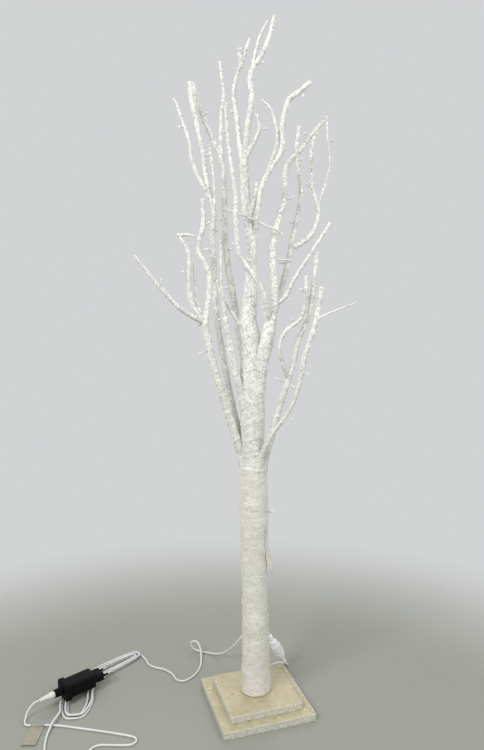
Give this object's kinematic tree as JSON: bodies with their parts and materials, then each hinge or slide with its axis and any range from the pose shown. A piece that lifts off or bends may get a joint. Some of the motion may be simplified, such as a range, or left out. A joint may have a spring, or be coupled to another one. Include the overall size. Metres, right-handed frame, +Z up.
{
  "type": "led light tree",
  "caption": "Free-standing white glitter-wrapped tree of bare bendable branches with clear lamps, square two-board base, white supply cord and black plug-in adapter.",
  "frame": {"origin": "centre of the base's underside, on the floor", "axes": "+Z up along the trunk; X and Y square to the base's edges, +Y towards the base's edge that the supply cord passes behind"},
  "size_m": [0.5603, 0.3418, 1.1726],
  "materials": {
    "board": "cream painted fibreboard with fine brown flecks, semi-matt",
    "wrap": "off-white crepe wrapping strewn with fine silver glitter",
    "padding": "white fibre padding, matt",
    "lights": "white cable core with clear moulded lamp caps",
    "steel": "zinc plated steel",
    "cord": "white soft PVC sheath, semi-matt",
    "connector": "milky white moulded plastic, slightly glossy",
    "seal": "pale soft rubber",
    "adapter": "black moulded plastic, fine matt grain",
    "laminations": "stacked iron sheets, dull",
    "copper": "enamelled copper wire",
    "circuit": "green circuit laminate",
    "paper": "cream coated paper, blank"
  },
  "bodies": {
    "tree": {"base_lower_board": "board", "base_upper_board": "board", "base_screw_1": "steel", "base_screw_2": "steel", "base_screw_3": "steel", "base_screw_4": "steel", "trunk_bolt": "steel", "trunk_bolt_washer": "steel", "trunk_tube": "steel", "trunk_foot_plug": "steel", "trunk_padding": "padding", "trunk_wrap": "wrap", "trunk_lamp": "lights", "trunk_wrap_tail": "wrap", "trunk_upper_wrap": "wrap", "leader_wrap": "wrap", "leader_lights": "lights", "lead_grommet": "seal", "cord_tree_lead": "cord", "cord_supply_run": "cord", "cord_hank": "cord", "cord_adapter_run": "cord", "connector_socket": "connector", "connector_plug": "connector", "connector_seal": "seal", "connector_pin_1": "steel", "connector_pin_2": "steel", "adapter_rear_cap": "adapter", "adapter_housing": "adapter", "adapter_plug_face": "adapter", "adapter_pin_1": "steel", "adapter_pin_2": "steel", "adapter_core": "laminations", "adapter_winding": "copper", "adapter_circuit": "circuit", "adapter_outlet": "adapter", "cord_boot": "cord", "cord_tag": "paper"},
    "limb_left_outer": {"limb_left_outer_wrap": "wrap", "limb_left_outer_lights": "lights"},
    "limb_left_inner": {"limb_left_inner_wrap": "wrap", "limb_left_inner_lights": "lights"},
    "limb_left_front": {"limb_left_front_wrap": "wrap", "limb_left_front_lights": "lights"},
    "limb_left_crown": {"limb_left_crown_wrap": "wrap", "limb_left_crown_lights": "lights"},
    "limb_right_outer": {"limb_right_outer_wrap": "wrap", "limb_right_outer_lights": "lights"},
    "limb_right_front": {"limb_right_front_wrap": "wrap", "limb_right_front_lights": "lights"},
    "limb_right_middle": {"limb_right_middle_wrap": "wrap", "limb_right_middle_lights": "lights"},
    "limb_right_back": {"limb_right_back_wrap": "wrap", "limb_right_back_lights": "lights"},
    "limb_right_crown": {"limb_right_crown_wrap": "wrap", "limb_right_crown_lights": "lights"},
    "connector_ring": {"connector_ring": "connector"},
    "adapter_outlet_ring": {"adapter_outlet_ring": "adapter"}
  },
  "joints": [
    {"name": "limb_left_outer_hinge", "type": "hinge", "parent": "tree", "child": "limb_left_outer", "pos_m": [-0.02069, 0.00245, 0.455], "axis": [-0.1175, -0.9931, 0], "range_deg": [0, 30]},
    {"name": "limb_left_inner_hinge", "type": "hinge", "parent": "tree", "child": "limb_left_inner", "pos_m": [-0.01411, 0.01499, 0.47], "axis": [-0.7284, -0.6852, 0], "range_deg": [0, 30]},
    {"name": "limb_left_front_hinge", "type": "hinge", "parent": "tree", "child": "limb_left_front", "pos_m": [-0.02066, -0.00681, 0.56], "axis": [0.3132, -0.9497, 0], "range_deg": [0, 30]},
    {"name": "limb_left_crown_hinge", "type": "hinge", "parent": "tree", "child": "limb_left_crown", "pos_m": [-0.00453, 0.01923, 0.605], "axis": [-0.9734, -0.2292, 0], "range_deg": [0, 30]},
    {"name": "limb_right_outer_hinge", "type": "hinge", "parent": "tree", "child": "limb_right_outer", "pos_m": [0.0195, -0.00778, 0.445], "axis": [0.3706, 0.9288, 0], "range_deg": [0, 30]},
    {"name": "limb_right_front_hinge", "type": "hinge", "parent": "tree", "child": "limb_right_front", "pos_m": [0.00655, -0.01986, 0.45], "axis": [0.9497, 0.3132, 0], "range_deg": [0, 30]},
    {"name": "limb_right_middle_hinge", "type": "hinge", "parent": "tree", "child": "limb_right_middle", "pos_m": [0.01127, -0.01718, 0.585], "axis": [0.3706, 0.9288, 0], "range_deg": [0, 20]},
    {"name": "limb_right_back_hinge", "type": "hinge", "parent": "tree", "child": "limb_right_back", "pos_m": [0.01663, 0.0131, 0.572], "axis": [-0.6191, 0.7853, 0], "range_deg": [0, 30]},
    {"name": "limb_right_crown_hinge", "type": "hinge", "parent": "tree", "child": "limb_right_crown", "pos_m": [0.00759, -0.00466, 0.825], "axis": [0.5262, 0.8504, 0], "range_deg": [0, 30]},
    {"name": "connector_ring_turn", "type": "hinge", "parent": "tree", "child": "connector_ring", "pos_m": [0.07236, 0.08501, 0.0415], "axis": [-0.4551, 0.0782, 0.887], "range_deg": [0, 180]},
    {"name": "adapter_ring_turn", "type": "hinge", "parent": "tree", "child": "adapter_outlet_ring", "pos_m": [-0.34179, 0.10292, 0.0233], "axis": [-0.9045, -0.4266, 0], "range_deg": [0, 180]}
  ]
}
